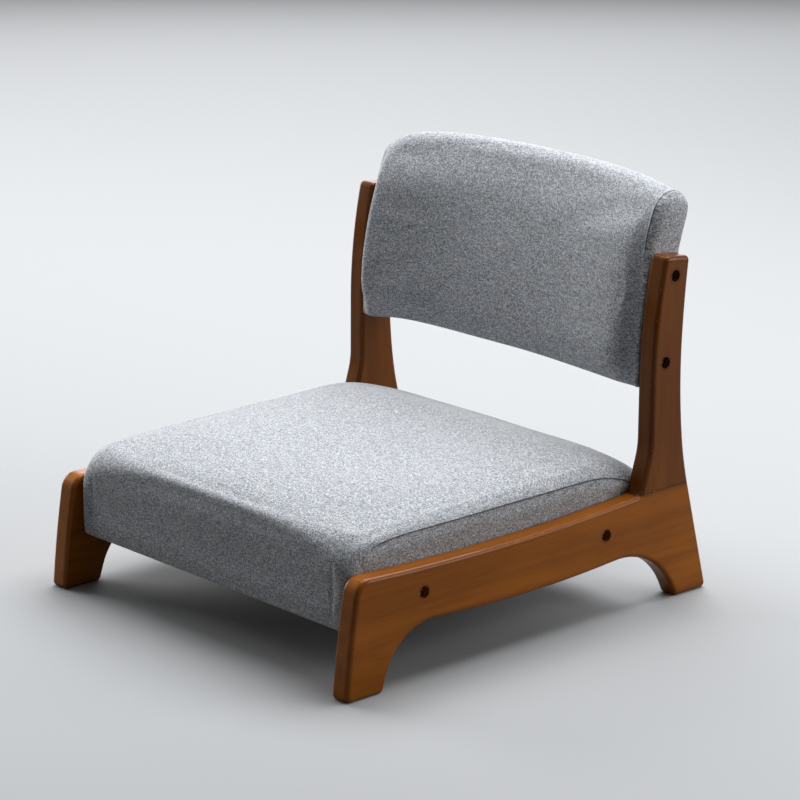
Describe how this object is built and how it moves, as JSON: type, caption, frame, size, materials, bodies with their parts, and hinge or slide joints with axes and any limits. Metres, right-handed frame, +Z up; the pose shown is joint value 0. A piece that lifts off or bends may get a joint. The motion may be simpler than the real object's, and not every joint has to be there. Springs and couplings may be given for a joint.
{
  "type": "low floor chair",
  "caption": "Low wooden floor chair with a padded grey seat and a curved padded back, bolted between two side frames.",
  "frame": {"origin": "on the floor, under the middle of the chair's bounding box", "axes": "+X to the sitter's left, -Y to the front of the chair, +Y to its rear, +Z up"},
  "size_m": [0.45, 0.5162, 0.4155],
  "materials": {
    "frame_wood": "stained and lacquered",
    "post_wood": "stained and lacquered",
    "inner_wood": "bare",
    "plywood": "bare",
    "foam": "open foam",
    "cover_cloth": "woven",
    "dust_cloth": "unwoven",
    "steel": "zinc plated"
  },
  "bodies": {
    "root": {"side_frame_left": "frame_wood", "side_frame_right": "frame_wood", "back_post_left": "post_wood", "back_post_right": "post_wood", "post_dowels": "inner_wood", "seat_side_rail_left": "inner_wood", "seat_side_rail_right": "inner_wood", "seat_front_rail": "inner_wood", "seat_rear_rail": "inner_wood", "seat_frame_dowels": "inner_wood", "seat_corner_blocks": "inner_wood", "seat_deck": "plywood", "seat_deck_screws": "steel", "seat_foam": "foam", "seat_cover_top": "cover_cloth", "seat_cover_side_left": "cover_cloth", "seat_cover_side_right": "cover_cloth", "seat_dust_cover": "dust_cloth", "seat_bolts": "steel", "seat_washers": "steel", "seat_insert_nuts": "steel", "back_board": "plywood", "back_batten_left": "inner_wood", "back_batten_right": "inner_wood", "back_batten_screws": "steel", "back_foam_front": "foam", "back_foam_rear": "foam", "back_cover_wrap": "cover_cloth", "back_cover_end_left": "cover_cloth", "back_cover_end_right": "cover_cloth", "back_bolts": "steel", "back_washers": "steel", "back_insert_nuts": "steel"}
  },
  "joints": []
}
